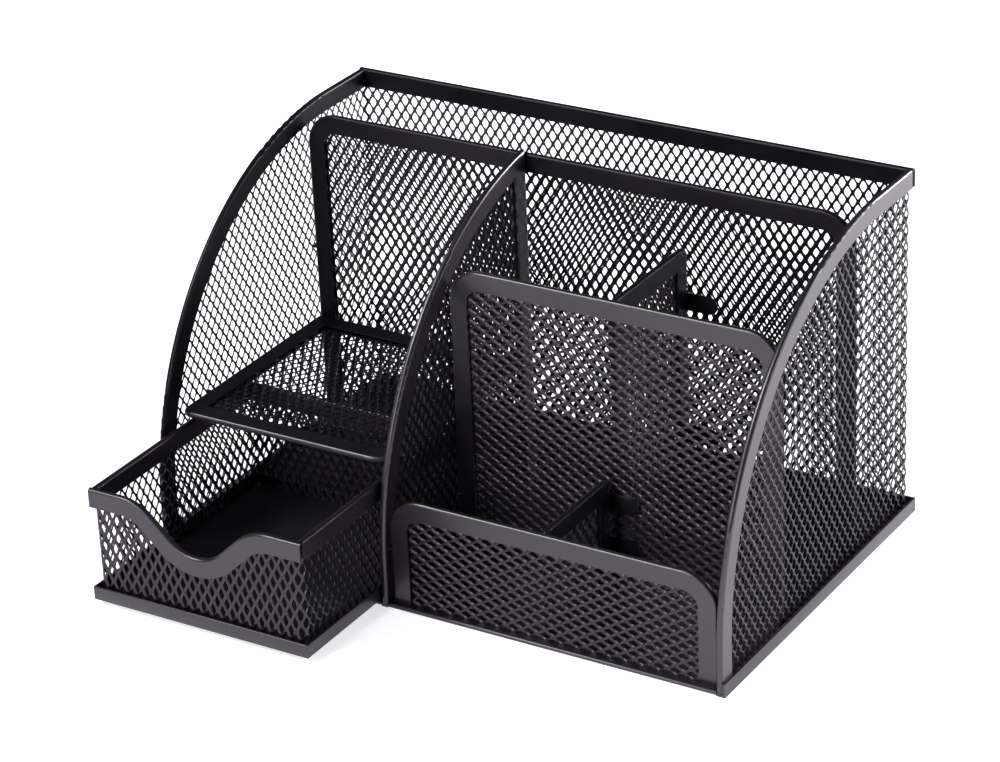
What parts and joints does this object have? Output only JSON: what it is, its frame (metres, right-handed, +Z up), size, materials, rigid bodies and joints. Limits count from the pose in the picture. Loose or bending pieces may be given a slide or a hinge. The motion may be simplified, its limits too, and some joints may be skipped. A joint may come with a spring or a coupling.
{
  "type": "desk organizer",
  "caption": "Black mesh desk organizer with a curved shell, a rear letter slot, pen cups, front bins, a shelf and a sliding drawer below it.",
  "frame": {"origin": "middle of the base tray's underside, on the desk", "axes": "+X to the user's right, +Y from the front to the letter slot at the back, +Z up"},
  "size_m": [0.2224, 0.1855, 0.13],
  "materials": {
    "mesh_coat": "satin black powder coat on expanded steel mesh",
    "strip_coat": "satin black powder coat on folded steel strip",
    "tray_coat": "satin black powder coat on sheet steel"
  },
  "bodies": {
    "frame": {"base_tray": "tray_coat", "side_mesh_left": "mesh_coat", "side_mesh_right": "mesh_coat", "back_mesh": "mesh_coat", "rear_divider_mesh": "mesh_coat", "middle_divider_mesh": "mesh_coat", "centre_divider_mesh": "mesh_coat", "pen_divider_mesh": "mesh_coat", "front_divider_mesh": "mesh_coat", "front_wall_mesh": "mesh_coat", "shelf_mesh": "mesh_coat", "side_rim_left": "strip_coat", "side_rim_right": "strip_coat", "back_rim": "strip_coat", "rear_divider_rim": "strip_coat", "middle_divider_rim": "strip_coat", "centre_divider_rim": "strip_coat", "pen_divider_rim": "strip_coat", "front_divider_rim": "strip_coat", "front_wall_rim": "strip_coat", "shelf_rim": "strip_coat", "pen_divider_tabs": "strip_coat", "front_divider_tabs": "strip_coat", "weld_beads": "strip_coat"},
    "drawer": {"drawer_tray": "tray_coat", "drawer_front_mesh": "mesh_coat", "drawer_back_mesh": "mesh_coat", "drawer_side_mesh_left": "mesh_coat", "drawer_side_mesh_right": "mesh_coat", "drawer_front_rim": "strip_coat", "drawer_back_rim": "strip_coat", "drawer_side_rim_left": "strip_coat", "drawer_side_rim_right": "strip_coat"}
  },
  "joints": [
    {"name": "drawer_slide", "type": "slide", "parent": "frame", "child": "drawer", "axis": [0, -1, 0], "range_m": [-0.0435, 0.0315]}
  ]
}
